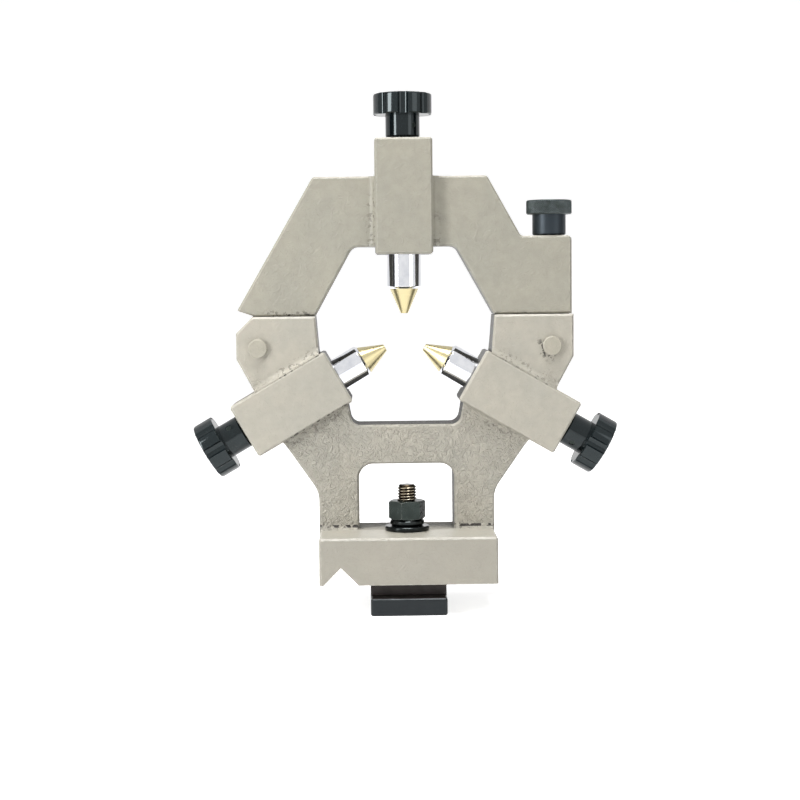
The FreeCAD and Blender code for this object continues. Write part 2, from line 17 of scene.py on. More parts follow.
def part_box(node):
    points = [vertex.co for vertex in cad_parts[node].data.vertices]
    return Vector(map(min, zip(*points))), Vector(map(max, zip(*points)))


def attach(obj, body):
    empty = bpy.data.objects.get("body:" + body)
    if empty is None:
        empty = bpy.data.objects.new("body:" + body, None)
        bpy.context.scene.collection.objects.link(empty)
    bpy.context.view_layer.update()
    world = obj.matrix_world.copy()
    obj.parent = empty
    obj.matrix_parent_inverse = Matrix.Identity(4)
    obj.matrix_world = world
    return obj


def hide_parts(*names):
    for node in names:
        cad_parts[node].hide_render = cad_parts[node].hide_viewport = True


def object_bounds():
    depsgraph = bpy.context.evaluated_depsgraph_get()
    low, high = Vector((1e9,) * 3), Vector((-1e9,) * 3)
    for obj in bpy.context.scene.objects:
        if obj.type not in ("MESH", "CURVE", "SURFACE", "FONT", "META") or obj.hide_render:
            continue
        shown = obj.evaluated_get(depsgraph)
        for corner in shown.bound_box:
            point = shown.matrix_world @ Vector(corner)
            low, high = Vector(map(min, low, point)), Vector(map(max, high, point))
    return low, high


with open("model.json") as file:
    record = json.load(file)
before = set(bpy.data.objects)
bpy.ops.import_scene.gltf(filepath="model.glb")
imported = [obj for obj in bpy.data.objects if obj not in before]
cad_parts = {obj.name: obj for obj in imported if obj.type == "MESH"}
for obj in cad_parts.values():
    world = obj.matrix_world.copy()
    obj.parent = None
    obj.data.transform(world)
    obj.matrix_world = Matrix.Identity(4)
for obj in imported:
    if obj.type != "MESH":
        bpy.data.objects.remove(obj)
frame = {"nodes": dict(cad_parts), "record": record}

CAD_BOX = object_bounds()
MM = 0.001
BODY_OF = {node: body for body, nodes in frame["record"]["behaviour"]["bodies"].items() for node in nodes}
JAW_NAMES = ("top", "left", "right")
print("nodes", len(BODY_OF), "box", [tuple(round(v / MM) for v in corner) for corner in CAD_BOX])

# %% [markdown]
# ## Where the turned pieces lie
#
# Turned pieces show rings round their own axis, so their finish needs coordinates that follow that axis.
# Each jaw points at the work's axis from its own side. A matrix for each jaw turns a point of the whole
# rest into one with Z along that jaw, and the upright clamp screw and stud only need a shift.

# %% Places of the turned pieces
WORK_CENTRE = Vector((0, 0, 125 * MM))
JAW_ANGLE = {"top": 0, "left": 120, "right": -120}  # degrees from straight up, towards the left


def jaw_frame(name):
    """Matrix that takes a point of the rest to a jaw's own axes, Z outwards."""
    turn = Matrix.Rotation(math.radians(JAW_ANGLE[name]), 4, "Y")
    return turn @ Matrix.Translation(-WORK_CENTRE)


def foot_of(node):
    """Middle of an upright piece's foot."""
    low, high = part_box(node)
    return Vector(((low[0] + high[0]) / 2, (low[1] + high[1]) / 2, low[2]))


def upright_frame(node):
    """Matrix that puts the middle of an upright piece's foot at zero."""
    return Matrix.Translation(-foot_of(node))


TURNED = {}
for jaw in JAW_NAMES:
    for piece in ("quill", "jaw_tip", "jaw_screw", "end_bush", "star_knob", "knob_pin"):
        TURNED[f"{piece}_{jaw}"] = jaw_frame(jaw)
for node in ("clamp_screw", "clamp_knob", "clamp_stud", "clamp_nut", "flat_washer", "lock_washer"):
    TURNED[node] = upright_frame(node)
top_low, top_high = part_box("quill_top")
print("top quill", round((top_high[2] - top_low[2]) / MM, 1), "mm long")

# %% [markdown]
# ## Small helpers for node trees
#
# Every finish is a tree of nodes. One helper adds a node and fills its sockets, each with a number, a
# colour or a link from another node. A second starts a node group with named inputs and outputs, so that
# an effect such as edge wear is built once and used by many finishes.

# %% Node helpers
def fill(tree, socket, value):
    """Gives a socket a link if the value is another socket, or else the value itself."""
    if isinstance(value, bpy.types.NodeSocket):
        tree.links.new(value, socket)
    else:
        socket.default_value = value


def add(tree, kind, sockets=None, **settings):
    """Adds a node and gives each named socket a value or a link."""
    made = tree.nodes.new(kind)
    for name, value in settings.items():
        setattr(made, name, value)
    for key, value in (sockets or {}).items():
        fill(tree, made.inputs[key], value)
    return made


def maths(tree, operation, *values):
    """Output of a Math node."""
    return add(tree, "ShaderNodeMath", dict(enumerate(values)), operation=operation).outputs[0]


def product(tree, *values):
    """Output of a chain of Math nodes that multiply their values."""
    result = values[0]
    for value in values[1:]:
        result = maths(tree, "MULTIPLY", result, value)
    return result


def split(tree, vector):
    """X, Y and Z of a vector."""
    return add(tree, "ShaderNodeSeparateXYZ", {0: vector}).outputs


def remap(tree, value, low, high, to_low=0.0, to_high=1.0):
    """Output of a clamped Map Range node."""
    sockets = {"Value": value, "From Min": low, "From Max": high, "To Min": to_low, "To Max": to_high}
    return add(tree, "ShaderNodeMapRange", sockets).outputs["Result"]


def noise(tree, place, scale, detail=3.0, distortion=0.0):
    """Output of a Noise Texture."""
    sockets = {"Vector": place, "Scale": scale, "Detail": detail, "Distortion": distortion}
    return add(tree, "ShaderNodeTexNoise", sockets).outputs["Fac"]


def blended(tree, share, first, second):
    """Colour between two others."""
    made = add(tree, "ShaderNodeMix", {"Factor": share, 6: first, 7: second}, data_type="RGBA")
    return made.outputs[2]


def new_group(name, kind, inputs, outputs):
    """A node group; returns it with its input sockets and its output node."""
    tree = bpy.data.node_groups.new(name, kind)
    for label, (sort, value) in inputs.items():
        socket = tree.interface.new_socket(label, in_out="INPUT", socket_type=sort)
        if value is not None:
            socket.default_value = value
    for label, sort in outputs.items():
        tree.interface.new_socket(label, in_out="OUTPUT", socket_type=sort)
    return tree, tree.nodes.new("NodeGroupInput").outputs, tree.nodes.new("NodeGroupOutput")


def send(tree, end, **results):
    """Links results to a group's outputs, whose names have spaces for underscores."""
    for label, socket in results.items():
        tree.links.new(socket, end.inputs[label.replace("_", " ")])


FLOAT, VECTOR, GEOMETRY = "NodeSocketFloat", "NodeSocketVector", "NodeSocketGeometry"

# %% [markdown]
# ## Effects that several finishes share
#
# Cast iron is poured in sand, so its skin is a field of small soft lumps that paint rounds over. Handling
# wears the edges a little lighter; on the enamel that lighter edge is partly a painted highlight. Painted
# shade darkens the inner corners, and dirt sits in specks near them. Turned metal has fine rings round its
# axis. Each effect is a group: the finishes below give it their own depth, size and strength.

# %% Cast skin
cast_skin, given, end = new_group(
    "Cast skin", "ShaderNodeTree",
    {"Place": (VECTOR, None), "Lump size": (FLOAT, 2.0), "Roughness of skin": (FLOAT, 1.0)},
    {"Height": FLOAT, "Tone": FLOAT, "Crease": FLOAT},
)
per_metre = maths(cast_skin, "DIVIDE", 1 / MM, given["Lump size"])
lumps = noise(cast_skin, given["Place"], per_metre, 1.5, 1.8)
fine = noise(cast_skin, given["Place"], product(cast_skin, per_metre, 3.1), 2.0, 0.6)
broad = noise(cast_skin, given["Place"], product(cast_skin, per_metre, 0.12), 2.0)
from_crease = maths(cast_skin, "ABSOLUTE", maths(cast_skin, "SUBTRACT", lumps, 0.5))
swell = remap(cast_skin, from_crease, 0.0, 0.12)
crease = product(cast_skin, maths(cast_skin, "SUBTRACT", 1.0, swell), given["Roughness of skin"])
height = maths(cast_skin, "MULTIPLY_ADD", fine, 0.35, maths(cast_skin, "MULTIPLY_ADD", swell, 0.3, lumps))
height = product(cast_skin, height, given["Roughness of skin"])
send(cast_skin, end, Height=height, Tone=broad, Crease=crease)

# %% Edge wear
edge_wear, given, end = new_group(
    "Edge wear", "ShaderNodeTree",
    {"Place": (VECTOR, None), "Width": (FLOAT, 0.8 * MM), "Amount": (FLOAT, 0.6)},
    {"Mask": FLOAT},
)
rounded = add(edge_wear, "ShaderNodeBevel", {"Radius": given["Width"]}, samples=6).outputs[0]
true_normal = add(edge_wear, "ShaderNodeNewGeometry").outputs["Normal"]
likeness = add(edge_wear, "ShaderNodeVectorMath", {0: rounded, 1: true_normal}, operation="DOT_PRODUCT")
bend = remap(edge_wear, maths(edge_wear, "SUBTRACT", 1.0, likeness.outputs["Value"]), 0.004, 0.09)
broken = remap(edge_wear, noise(edge_wear, given["Place"], 420.0, 4.0), 0.35, 0.62)
send(edge_wear, end, Mask=product(edge_wear, bend, broken, given["Amount"]))

# %% Corner shade and dirt
corner_shade_and_dirt, given, end = new_group(
    "Corner shade and dirt", "ShaderNodeTree",
    {"Place": (VECTOR, None), "Reach": (FLOAT, 3 * MM), "Amount": (FLOAT, 0.5)},
    {"Soft": FLOAT, "Specks": FLOAT},
)
# Ambient occlusion finds the inner corners: the first output is painted shade there, the second marks small
# dirt specks near them.
shaded = add(corner_shade_and_dirt, "ShaderNodeAmbientOcclusion", {"Distance": given["Reach"]}, samples=8)
closed = maths(corner_shade_and_dirt, "SUBTRACT", 1.0, shaded.outputs["AO"])
patches = remap(corner_shade_and_dirt, noise(corner_shade_and_dirt, given["Place"], 260.0, 3.0), 0.3, 0.7)
corner_shade = product(corner_shade_and_dirt, closed, patches, given["Amount"])
spots = remap(corner_shade_and_dirt, noise(corner_shade_and_dirt, given["Place"], 520.0, 2.0), 0.54, 0.57)
near = remap(corner_shade_and_dirt, closed, 0.08, 0.14)
places = remap(corner_shade_and_dirt, noise(corner_shade_and_dirt, given["Place"], 34.0, 1.0), 0.47, 0.53)
specks = product(corner_shade_and_dirt, spots, near, places, given["Amount"])
send(corner_shade_and_dirt, end, Soft=corner_shade, Specks=specks)

# %% Tool rings
tool_rings, given, end = new_group(
    "Tool rings", "ShaderNodeTree",
    {"Place": (VECTOR, None), "Spacing": (FLOAT, 0.25)},
    {"Height": FLOAT, "Streaks": FLOAT, "Radius": FLOAT},
)
apart = split(tool_rings, given["Place"])
across_axis = add(tool_rings, "ShaderNodeCombineXYZ", {0: apart["X"], 1: apart["Y"]}).outputs[0]
radius = add(tool_rings, "ShaderNodeVectorMath", {0: across_axis}, operation="LENGTH").outputs["Value"]
along = maths(tool_rings, "ADD", apart["Z"], radius)
turns = maths(tool_rings, "DIVIDE", along, product(tool_rings, given["Spacing"], MM))
wave = maths(tool_rings, "SINE", product(tool_rings, turns, math.tau))
band_place = add(tool_rings, "ShaderNodeCombineXYZ", {2: along}).outputs[0]
streaks = noise(tool_rings, band_place, 2200.0, 4.0)
height = maths(tool_rings, "MULTIPLY_ADD", wave, 0.25, streaks)
send(tool_rings, end, Height=height, Streaks=streaks, Radius=radius)


# %% Material helpers
def place_from(tree, attribute=None):
    """Coordinates in metres: the object's own, or a stored attribute of the piece."""
    if attribute:
        return add(tree, "ShaderNodeAttribute", attribute_name=attribute).outputs["Vector"]
    return add(tree, "ShaderNodeTexCoord").outputs["Object"]


def use(tree, group, **sockets):
    """Places a node group; underscores in socket names stand for spaces."""
    made = tree.nodes.new("ShaderNodeGroup")
    made.node_tree = group
    for label, value in sockets.items():
        fill(tree, made.inputs[label.replace("_", " ")], value)
    return made.outputs


def bump(tree, height, distance):
    """Normal from a height, whose full range is the distance in millimetres."""
    sockets = {"Height": height, "Distance": distance * MM, "Strength": 1.0}
    return add(tree, "ShaderNodeBump", sockets).outputs["Normal"]


def new_finish(name):
    """An empty material; returns it with its tree and its Principled shader."""
    made = bpy.data.materials.new(name)
    made.use_nodes = True
    tree = made.node_tree
    return made, tree, next(n for n in tree.nodes if n.type == "BSDF_PRINCIPLED")


def feed(tree, shader, **sockets):
    """Sets or links sockets of the Principled shader."""
    for label, value in sockets.items():
        fill(tree, shader.inputs[label.replace("_", " ")], value)


def rgb(red, green, blue):
    """Linear colour from the 0 to 255 values that a paint chart gives."""
    def linear(value):
        share = value / 255
        return share / 12.92 if share <= 0.04045 else ((share + 0.055) / 1.055) ** 2.4
    return (linear(red), linear(green), linear(blue), 1.0)


def shaded_by(colour, *shares):
    """A colour with each of its three parts multiplied by a share, or all by the same one."""
    if len(shares) == 1:
        shares = shares * 3
    return tuple(value * share for value, share in zip(colour, shares)) + (1.0,)


# %% [markdown]
# ## Enamel on the castings
#
# The castings are sprayed with a warm grey machine enamel, half glossy. The lower one is rougher than the
# upper one, which was filled and rubbed down first. The paint's tone drifts a little, and its edges are a
# shade lighter, partly from wear and partly as a painted highlight. Painted shade darkens the inner corners,
# the creases of the cast skin and the front face of the foot, and the walls of the openings are darkened
# nearly to black. Dirt sits in specks in the corners and in a broken dark line where the legs meet the base.

# %% Enamel finish
# Colour of the painted shade in the inner corners and in the creases of the cast skin.
PAINTED_SHADE = rgb(66, 61, 50)
OPENING_WALL_DARK = rgb(26, 24, 18)
SPECK = rgb(38, 34, 28)
WEB_FACE = 15 * MM  # the plain web lies within this distance of the plane of the jaws
WEB_HALF = 13.2 * MM  # the same for the front edges of the openings' walls
FILED_ABOVE = 108 * MM  # above this height the casting was filed smooth
FOOT_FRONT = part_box("lower_frame")[0][1]
SEAM_HEIGHT = 25.8 * MM  # just above the corner between the legs and the base
SEAM_LINE = 0.5 * MM
SEAM_FRONT = -12 * MM  # the line runs only in front of this plane
WALL_FOOT, WALL_WIDENS, WALL_TOP = 26 * MM, 75 * MM, 174 * MM  # heights of the openings' walls
WINDOW_REACH, THROAT_REACH = 45 * MM, 49 * MM  # half widths below and above the change
WALL_LEAN = 0.4  # a face whose normal leans more than this to the front is no wall


def rough_share(tree, place):
    """1 on the webs and legs that were left as cast, 0 on the filed bosses, ears and base."""
    apart = split(tree, place)
    depth = maths(tree, "ABSOLUTE", apart["Y"])
    on_web = remap(tree, depth, WEB_FACE, WEB_FACE + 1.5 * MM, 1.0, 0.0)
    low = remap(tree, apart["Z"], FILED_ABOVE - 10 * MM, FILED_ABOVE, 1.0, 0.0)
    return product(tree, on_web, low)


def dark_wall_share(tree, place):
    """1 on the walls of the opening for the work and of the window, which are darkened nearly to black."""
    apart = split(tree, place)
    facing = split(tree, add(tree, "ShaderNodeTexCoord").outputs["Normal"])
    front = maths(tree, "ABSOLUTE", facing["Y"])
    side = maths(tree, "ABSOLUTE", apart["X"])
    depth = maths(tree, "ABSOLUTE", apart["Y"])
    wide = remap(tree, apart["Z"], WALL_WIDENS - MM, WALL_WIDENS, WINDOW_REACH, THROAT_REACH)
    return product(
        tree,
        maths(tree, "LESS_THAN", side, wide),
        maths(tree, "LESS_THAN", depth, WEB_HALF),
        maths(tree, "LESS_THAN", front, WALL_LEAN),
        maths(tree, "GREATER_THAN", apart["Z"], WALL_FOOT),
        maths(tree, "LESS_THAN", apart["Z"], WALL_TOP),
    )


def seam_share(tree, place):
    """1 in the broken dark line where the legs meet the base."""
    apart = split(tree, place)
    off_line = maths(tree, "ABSOLUTE", maths(tree, "SUBTRACT", apart["Z"], SEAM_HEIGHT))
    line = remap(tree, off_line, SEAM_LINE, SEAM_LINE + 0.4 * MM, 1.0, 0.0)
    dashes = remap(tree, noise(tree, place, 340.0, 2.0), 0.49, 0.53)
    front = maths(tree, "LESS_THAN", apart["Y"], SEAM_FRONT)
    return product(tree, line, dashes, front)


def enamel(name, colour, lump_size, depth, filed):
    """Enamel over a cast skin; sizes in millimetres, and filed is the share of relief on filed iron."""
    made, tree, shader = new_finish(name)
    # Lighter edge colour, partly for wear and partly a painted highlight.
    wear_and_highlight = [1 - (1 - value) * 0.62 for value in colour[:3]] + [1.0]
    place = place_from(tree)
    skin = remap(tree, rough_share(tree, place), 0.0, 1.0, filed, 1.0)
    surface = use(tree, cast_skin, Place=place, Lump_size=lump_size, Roughness_of_skin=skin)
    worn = use(tree, edge_wear, Place=place, Width=0.9 * MM, Amount=0.6)["Mask"]
    shade_and_dirt = use(tree, corner_shade_and_dirt, Place=place, Reach=4 * MM, Amount=0.9)
    drift = remap(tree, surface["Tone"], 0.35, 0.65)
    tone = blended(tree, drift, colour, shaded_by(colour, 0.92, 0.935, 0.95))
    mottle = remap(tree, noise(tree, place, 230.0, 4.0), 0.35, 0.65, 0.0, 0.2)
    # Painted shade: the front face of the foot is darkened.
    foot_front_shade = remap(
        tree, split(tree, place)["Y"], FOOT_FRONT + 1.5 * MM, FOOT_FRONT + 0.5 * MM, 0.0, 0.6
    )
    specks = maths(tree, "MAXIMUM", shade_and_dirt["Specks"], seam_share(tree, place))
    layers = (
        (mottle, shaded_by(colour, 0.6)),
        # Painted shade on the front face of the foot.
        (foot_front_shade, shaded_by(colour, 0.68)),
        # Painted shade: the creases of the cast skin are darkened a little.
        (product(tree, surface["Crease"], 0.08), PAINTED_SHADE),
        # Lighter edges: partly wear, partly a painted highlight along the edges.
        (worn, wear_and_highlight),
        # The walls of the openings are darkened nearly to black.
        (product(tree, dark_wall_share(tree, place), 0.95), OPENING_WALL_DARK),
        # Painted shade in the inner corners.
        (product(tree, shade_and_dirt["Soft"], 0.35), PAINTED_SHADE),
        (specks, SPECK),
    )
    for share, over in layers:
        tone = blended(tree, share, tone, over)
    rough = remap(tree, surface["Height"], 0.1, 0.9, 0.36, 0.52)
    feed(tree, shader, Base_Color=tone, Roughness=rough, Normal=bump(tree, surface["Height"], depth))
    return made


ROUGH_ENAMEL = enamel("enamel_rough_casting", rgb(181, 176, 163), lump_size=3.2, depth=1.1, filed=0.22)
SMOOTH_ENAMEL = enamel("enamel_smooth_casting", rgb(166, 162, 148), lump_size=3.6, depth=0.9, filed=0.3)
PIN_ENAMEL = enamel("enamel_pins", rgb(182, 176, 160), lump_size=2.2, depth=0.3, filed=1.0)

# %% [markdown]
# ## Chrome, brass and turned steel
#
# Bare metal takes its look from what it reflects. The quills are ground and chromed, so they are nearly
# mirrors with the faintest rings. The brass tips keep the marks of the tool, and the stud is plain steel
# that has browned a little. All three read the piece's own axis from an attribute named `turned`.

# %% Bare metal finishes
# Colour of the painted shade at the bottoms of thread grooves.
GROOVE_SHADE = rgb(44, 36, 26)


def turned_metal(name, colour, darker, rough, spacing, depth, streak=0.08, groove=None):
    """Metal turned or ground round its axis; groove is the radius range in millimetres where painted shade
    fades out.
    """
    made, tree, shader = new_finish(name)
    place = place_from(tree, "turned")
    rings = use(tree, tool_rings, Place=place, Spacing=spacing)
    stains = remap(tree, noise(tree, place, 210.0, 4.0), 0.4, 0.75)
    tone = blended(tree, stains, colour, darker)
    gloss = remap(tree, rings["Streaks"], 0.3, 0.7, rough - streak / 2, rough + streak / 2)
    # Painted shade: the bottoms of the thread's grooves are darkened.
    if groove:
        out_of_groove = remap(tree, rings["Radius"], groove[0] * MM, groove[1] * MM)
        tone = blended(tree, out_of_groove, GROOVE_SHADE, tone)
    relief = bump(tree, rings["Height"], depth)
    feed(tree, shader, Base_Color=tone, Metallic=1.0, Roughness=gloss, Normal=relief)
    return made


CHROME = turned_metal(
    "chrome_quill", rgb(228, 229, 232), rgb(212, 214, 220), rough=0.09, spacing=0.12, depth=0.0012,
    streak=0.05,
)
BRASS = turned_metal(
    "turned_brass", rgb(190, 180, 142), rgb(196, 183, 140), rough=0.3, spacing=0.22, depth=0.006
)
STEEL = turned_metal(
    "turned_steel", rgb(176, 170, 160), rgb(140, 132, 118), rough=0.3, spacing=0.2, depth=0.005
)
STUD_STEEL = turned_metal(
    "browned_stud", rgb(172, 164, 148), rgb(128, 118, 100), rough=0.24, spacing=0.3, depth=0.004,
    groove=(4.35, 4.8),
)

# %% [markdown]
# ## Moulded knobs and blackened steel
#
# The star knobs are moulded phenolic with a hard gloss. Their black and its reflections are a touch
# greener than neutral. The clamp knob, nut, washers and plate are steel that was blackened in a hot salt
# bath: dark, a little metallic, dull where it was cast or knurled and brighter where it was machined.

# %% Black finishes
def moulded_black():
    """Glossy phenolic with faint moulding ripples and hairline scratches."""
    made, tree, shader = new_finish("moulded_black")
    place = place_from(tree)
    ripples = noise(tree, place, 90.0, 2.0)
    dust = remap(tree, noise(tree, place, 1500.0, 3.0), 0.62, 0.75)
    worn = use(tree, edge_wear, Place=place, Width=0.5 * MM, Amount=0.25)["Mask"]
    tone = blended(tree, dust, rgb(12, 19, 21), rgb(38, 46, 48))
    tone = blended(tree, worn, tone, rgb(74, 84, 86))
    gloss = maths(tree, "MULTIPLY_ADD", dust, 0.15, remap(tree, ripples, 0.3, 0.7, 0.05, 0.10))
    feed(
        tree, shader, Base_Color=tone, Roughness=gloss, Specular_IOR_Level=0.4,
        Specular_Tint=(0.86, 0.97, 1.0, 1.0), Normal=bump(tree, ripples, 0.05),
    )
    return made


def blackened(name, colour, worn_colour, rough, metallic=0.75, wear=0.5, grain=0.02, lower=None):
    """Blackened steel, its edges rubbed brighter; lower is a height and the colour below it."""
    made, tree, shader = new_finish(name)
    place = place_from(tree)
    patches = noise(tree, place, 160.0, 4.0)
    pits = noise(tree, place, 1300.0, 3.0)
    worn = use(tree, edge_wear, Place=place, Width=0.6 * MM, Amount=wear)["Mask"]
    tone = blended(tree, remap(tree, patches, 0.35, 0.7), colour, shaded_by(colour, 0.72))
    if lower:
        above = maths(tree, "GREATER_THAN", split(tree, place)["Z"], lower[0])
        tone = blended(tree, above, lower[1], tone)
    tone = blended(tree, worn, tone, worn_colour)
    gloss = remap(tree, patches, 0.3, 0.7, rough - 0.07, rough + 0.07)
    feed(tree, shader, Base_Color=tone, Metallic=metallic, Roughness=gloss, Normal=bump(tree, pits, grain))
    return made


MOULDED = moulded_black()
BLACK_OXIDE = blackened("black_oxide", rgb(48, 56, 53), rgb(140, 144, 140), rough=0.28)
BLACK_SPRING = blackened("black_spring_steel", rgb(34, 38, 38), rgb(112, 116, 116), rough=0.17)
HUB_LENGTH = 10.8 * MM  # plain hub under the clamp knob's knurled head
HEAD_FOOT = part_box("clamp_knob")[0][2] + HUB_LENGTH - 0.1 * MM
KNURLED = blackened(
    "knurled_black", rgb(60, 68, 68), rgb(108, 116, 116), rough=0.42, metallic=0.6, wear=0.4,
    lower=(HEAD_FOOT, rgb(44, 52, 58)),
)
PLATE_STEP = -6.8 * MM  # height between the plate and the tongue on top of it
PLATE_BLACK = blackened(
    "plate_black", rgb(44, 38, 36), rgb(84, 84, 82), rough=0.4, metallic=0.5, wear=0.4, grain=0.05,
    lower=(PLATE_STEP, rgb(20, 26, 29)),
)
print("finishes", len(bpy.data.materials))

# %% [markdown]
# ## Rounding the edges
#
# No real edge is perfectly sharp: sand, paint and a wipe with a file all round it, and the thin light line
# along each edge is what makes a part look solid. A copy of each node's mesh is merged, its flat faces are
# joined, and every edge that bends sharply gets a small bevel. The copy then stands for its node.

# %% Rounded copies
MERGE = 0.002 * MM  # points this close become one
FLAT = math.radians(0.4)  # faces that bend less than this are joined
ROUNDED_FROM = math.radians(26)  # edges that bend more than this are rounded
SHARP = math.radians(38)  # edges that bend more than this stay sharp in the shading


def new_object(name, data):
    """An object in the scene."""
    made = bpy.data.objects.new(name, data)
    bpy.context.scene.collection.objects.link(made)
    return made


def shade_smooth(mesh):
    """Marks every face of a mesh as smooth."""
    mesh.polygons.foreach_set("use_smooth", [True] * len(mesh.polygons))


def rounded_copy(node, width):
    """A merged copy of a node's mesh whose edges are rounded by a width in millimetres."""
    mesh = frame["nodes"][node].data.copy()
    mesh.name = f"{node}_rounded"
    shape = bmesh.new()
    shape.from_mesh(mesh)
    bmesh.ops.remove_doubles(shape, verts=shape.verts, dist=MERGE)
    bmesh.ops.dissolve_limit(shape, angle_limit=FLAT, verts=shape.verts, edges=shape.edges)
    edges = [e for e in shape.edges if len(e.link_faces) == 2 and e.calc_face_angle(0) > ROUNDED_FROM]
    bmesh.ops.bevel(
        shape, geom=edges, offset=width * MM, offset_type="OFFSET", segments=3, profile=0.5,
        affect="EDGES", clamp_overlap=True, loop_slide=True,
    )
    shape.to_mesh(mesh)
    shape.free()
    return mesh


def finish_piece(name, mesh, node, material):
    """Makes a piece that stands for a node and rides on its body."""
    mesh.materials.clear()
    mesh.materials.append(material)
    shade_smooth(mesh)
    mesh.set_sharp_from_angle(angle=SHARP)
    if node in TURNED:
        stored = mesh.attributes.new("turned", "FLOAT_VECTOR", "POINT")
        for vertex, value in zip(mesh.vertices, stored.data):
            value.vector = TURNED[node] @ vertex.co
    piece = new_object(name, mesh)
    weighted = piece.modifiers.new("even_shading", "WEIGHTED_NORMAL")
    weighted.keep_sharp = True
    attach(piece, BODY_OF[node])
    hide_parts(node)


# %% Castings and pins
CASTINGS = {  # width of the rounding in millimetres, and finish
    "lower_frame": (0.32, ROUGH_ENAMEL),
    "upper_frame": (0.32, SMOOTH_ENAMEL),
    "hinge_pin": (0.2, PIN_ENAMEL),
    "cross_pin": (0.2, PIN_ENAMEL),
}
for node, (width, material) in CASTINGS.items():
    mesh = rounded_copy(node, width)
    finish_piece(f"{node}_painted", mesh, node, material)
    print(node, len(mesh.polygons), "faces")

# %% [markdown]
# ## Jaws and star knobs
#
# Each jaw is the same set of pieces, so one loop dresses all three. The knobs are moulded with a generous
# radius on every ridge, the quills have a fine bevel at the end, and the tips are left nearly sharp. The
# feed screws are hidden inside, so they keep their plain shape and only take the black finish.

# %% Jaw pieces
JAW_LOOKS = {  # width of the rounding, and finish
    "quill": (0.2, CHROME),
    "jaw_tip": (0.12, BRASS),
    "star_knob": (0.45, MOULDED),
    "knob_pin": (0.15, BLACK_OXIDE),
    "end_bush": (0.2, BLACK_OXIDE),
    "guide_screw": (0.12, BLACK_OXIDE),
}
for jaw in JAW_NAMES:
    for kind, (width, material) in JAW_LOOKS.items():
        node = f"{kind}_{jaw}"
        mesh = rounded_copy(node, width)
        finish_piece(f"{node}_finished", mesh, node, material)
    hidden_screw = frame["nodes"][f"jaw_screw_{jaw}"].data
    hidden_screw.materials.clear()
    hidden_screw.materials.append(BLACK_OXIDE)

# %% [markdown]
# ## Cut threads
#
# A screw thread is one ridge that climbs round a rod. Geometry Nodes can build it from a plain tall
# cylinder with many rings: each point moves inwards by a depth that depends on its height and on its
# angle, so the groove rises by one pitch for each turn. Named inputs set the size, so the same tree cuts
# the stud and the clamp screw. The ends are tapered, as a cut thread's are.

# %% Thread tree
POINTS_PER_RING = 48
RINGS_PER_TURN = 10


def fields(tree):
    """X, Y and Z of the points, and their angle in turns."""
    apart = split(tree, add(tree, "GeometryNodeInputPosition").outputs[0])
    turn = maths(tree, "DIVIDE", maths(tree, "ARCTAN2", apart["Y"], apart["X"]), math.tau)
    return apart["X"], apart["Y"], apart["Z"], turn


def scaled_across(tree, geometry, x, y, z, share):
    """Moves the points of a round bar to a share of their distance from its axis."""
    moved = {0: product(tree, x, share), 1: product(tree, y, share), 2: z}
    new_place = add(tree, "ShaderNodeCombineXYZ", moved).outputs[0]
    return add(tree, "GeometryNodeSetPosition", {"Geometry": geometry, "Position": new_place}).outputs[0]


def hand_over(tree, end, geometry, material):
    """Gives a geometry its material and sends it out of the group."""
    shown = add(tree, "GeometryNodeSetMaterial", {"Geometry": geometry, "Material": material}).outputs[0]
    send(tree, end, Geometry=add(tree, "GeometryNodeRealizeInstances", {0: shown}).outputs[0])


def round_bar(tree, given, around, rings):
    """Upright cylinder of the group's Radius and Length, its foot at zero."""
    bar = add(tree, "GeometryNodeMeshCylinder", {
        "Vertices": around, "Side Segments": rings, "Radius": given["Radius"], "Depth": given["Length"],
    }, fill_type="TRIANGLE_FAN").outputs["Mesh"]
    lift = add(tree, "ShaderNodeCombineXYZ", {2: product(tree, given["Length"], 0.5)}).outputs[0]
    return add(tree, "GeometryNodeTransform", {"Geometry": bar, "Translation": lift}).outputs[0]


thread_tree, given, end = new_group(
    "Cut thread", "GeometryNodeTree",
    {
        "Geometry": (GEOMETRY, None), "Radius": (FLOAT, 5 * MM), "Length": (FLOAT, 60 * MM),
        "Pitch": (FLOAT, 1.5 * MM), "Depth": (FLOAT, 0.8 * MM), "Taper": (FLOAT, 1.1 * MM),
        "Rings": ("NodeSocketInt", 200), "Material": ("NodeSocketMaterial", None),
    },
    {"Geometry": GEOMETRY},
)
bar = round_bar(thread_tree, given, POINTS_PER_RING, given["Rings"])
x, y, z, turn = fields(thread_tree)
turns_up = maths(thread_tree, "DIVIDE", z, given["Pitch"])
phase = maths(thread_tree, "FRACT", maths(thread_tree, "SUBTRACT", turns_up, turn))
slope = product(thread_tree, maths(thread_tree, "PINGPONG", phase, 0.5), 2.0)
groove = remap(thread_tree, slope, 0.14, 0.88)
cut = maths(thread_tree, "DIVIDE", product(thread_tree, groove, given["Depth"]), given["Radius"])
to_end = maths(thread_tree, "MINIMUM", z, maths(thread_tree, "SUBTRACT", given["Length"], z))
end_radius = maths(thread_tree, "SUBTRACT", given["Radius"], given["Taper"])
end_radius = maths(thread_tree, "ADD", end_radius, to_end)
share = maths(
    thread_tree, "MINIMUM", maths(thread_tree, "SUBTRACT", 1.0, cut),
    maths(thread_tree, "DIVIDE", end_radius, given["Radius"]),
)
threaded = scaled_across(thread_tree, bar, x, y, z, share)
hand_over(thread_tree, end, threaded, given["Material"])


